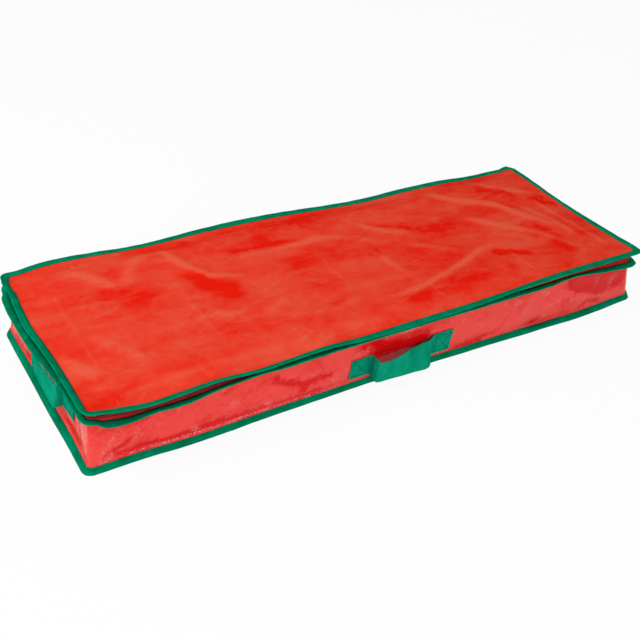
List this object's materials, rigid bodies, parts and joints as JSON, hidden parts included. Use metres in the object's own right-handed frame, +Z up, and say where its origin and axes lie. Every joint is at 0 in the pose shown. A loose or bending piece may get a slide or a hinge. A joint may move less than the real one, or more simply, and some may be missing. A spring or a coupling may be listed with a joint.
{
  "type": "decoration storage bag",
  "caption": "Long flat storage bag for decorations: zipped fabric lid hinged at the back, glossy film walls, bound seams and webbing handles.",
  "frame": {"origin": "centre of the bag's resting face, on the floor", "axes": "+X along the bag's length, +Y from the front wall to the hinged back, +Z up"},
  "size_m": [1.0626, 0.3862, 0.1162],
  "materials": {
    "lid_fabric": "non-woven polypropylene, red",
    "wall_film": "film-laminated fabric, glossy red",
    "binding_tape": "folded binding tape, green",
    "webbing": "flat webbing, green",
    "zip_tape": "woven zip tape, dark red",
    "zip_coil": "nylon coil, dark red",
    "slider_metal": "lacquered zinc, dark red"
  },
  "bodies": {
    "bag": {"bottom_panel": "wall_film", "bottom_binding": "binding_tape", "front_wall": "wall_film", "right_wall": "wall_film", "back_wall": "wall_film", "left_wall": "wall_film", "rim_binding": "binding_tape", "zip_tape_lower": "zip_tape", "zip_coil_lower": "zip_coil", "hinge_strip": "lid_fabric", "front_handle_left_end": "webbing", "front_handle_right_end": "webbing", "left_handle_front_end": "webbing", "left_handle_back_end": "webbing", "right_handle_front_end": "webbing", "right_handle_back_end": "webbing"},
    "lid": {"top_panel": "lid_fabric", "top_binding": "binding_tape", "zip_tape_upper": "zip_tape", "zip_coil_upper": "zip_coil", "zip_end_left": "zip_tape", "zip_end_right": "zip_tape"},
    "slider": {"zip_slider": "slider_metal"},
    "pull_tab": {"zip_pull_tab": "slider_metal"},
    "front_handle": {"front_handle_loop": "webbing"},
    "left_handle": {"left_handle_loop": "webbing"},
    "right_handle": {"right_handle_loop": "webbing"}
  },
  "joints": [
    {"name": "lid_hinge", "type": "hinge", "parent": "bag", "child": "lid", "pos_m": [0, 0.1867, 0.0965], "axis": [-1, 0, 0], "range_deg": [0, 180], "deforming": ["hinge_strip", "zip_end_left", "zip_end_right"]},
    {"name": "slider_slide", "type": "slide", "parent": "bag", "child": "slider", "axis": [0, -1, 0], "range_m": [0, 0.3]},
    {"name": "pull_tab_swing", "type": "hinge", "parent": "slider", "child": "pull_tab", "pos_m": [0.5046, 0.145, 0.0959], "axis": [0, 0, 1], "range_deg": [0, 170]},
    {"name": "front_handle_swing", "type": "hinge", "parent": "bag", "child": "front_handle", "pos_m": [-0.008, -0.1734, 0.058], "axis": [-1, 0, 0], "range_deg": [0, 80]},
    {"name": "left_handle_swing", "type": "hinge", "parent": "bag", "child": "left_handle", "pos_m": [-0.5154, -0.005, 0.075], "axis": [0, 1, 0], "range_deg": [0, 30]},
    {"name": "right_handle_swing", "type": "hinge", "parent": "bag", "child": "right_handle", "pos_m": [0.504, -0.005, 0.075], "axis": [0, -1, 0], "range_deg": [0, 30]}
  ]
}
